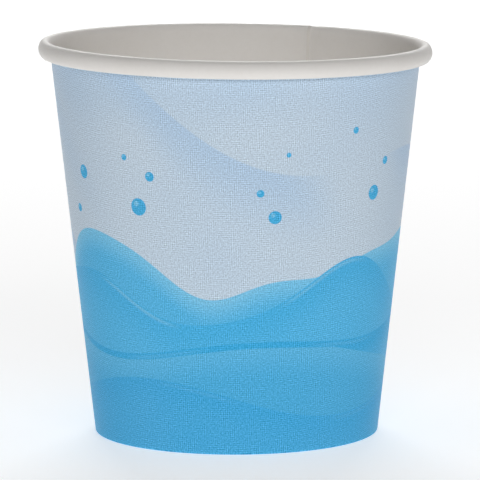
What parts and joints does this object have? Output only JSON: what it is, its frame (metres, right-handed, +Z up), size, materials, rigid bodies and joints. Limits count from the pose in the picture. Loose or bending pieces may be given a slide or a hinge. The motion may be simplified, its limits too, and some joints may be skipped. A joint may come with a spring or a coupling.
{
  "type": "paper cup",
  "caption": "Small paper drinking cup with a tapered printed wall, a rolled rim and a recessed base, open at the top and standing on a narrow ring.",
  "frame": {"origin": "centre of the ring that the foot stands on, at the bottom of the cup", "axes": "+Z up along the cup's axis, out of its mouth; the side seam is on the +Y side, 67 to 78 degrees round from +X"},
  "size_m": [0.057, 0.057, 0.057],
  "materials": {
    "printed_board": "matte",
    "white_board": "matte"
  },
  "bodies": {
    "root": {"side_wall": "printed_board", "base_disc": "white_board"}
  },
  "joints": []
}
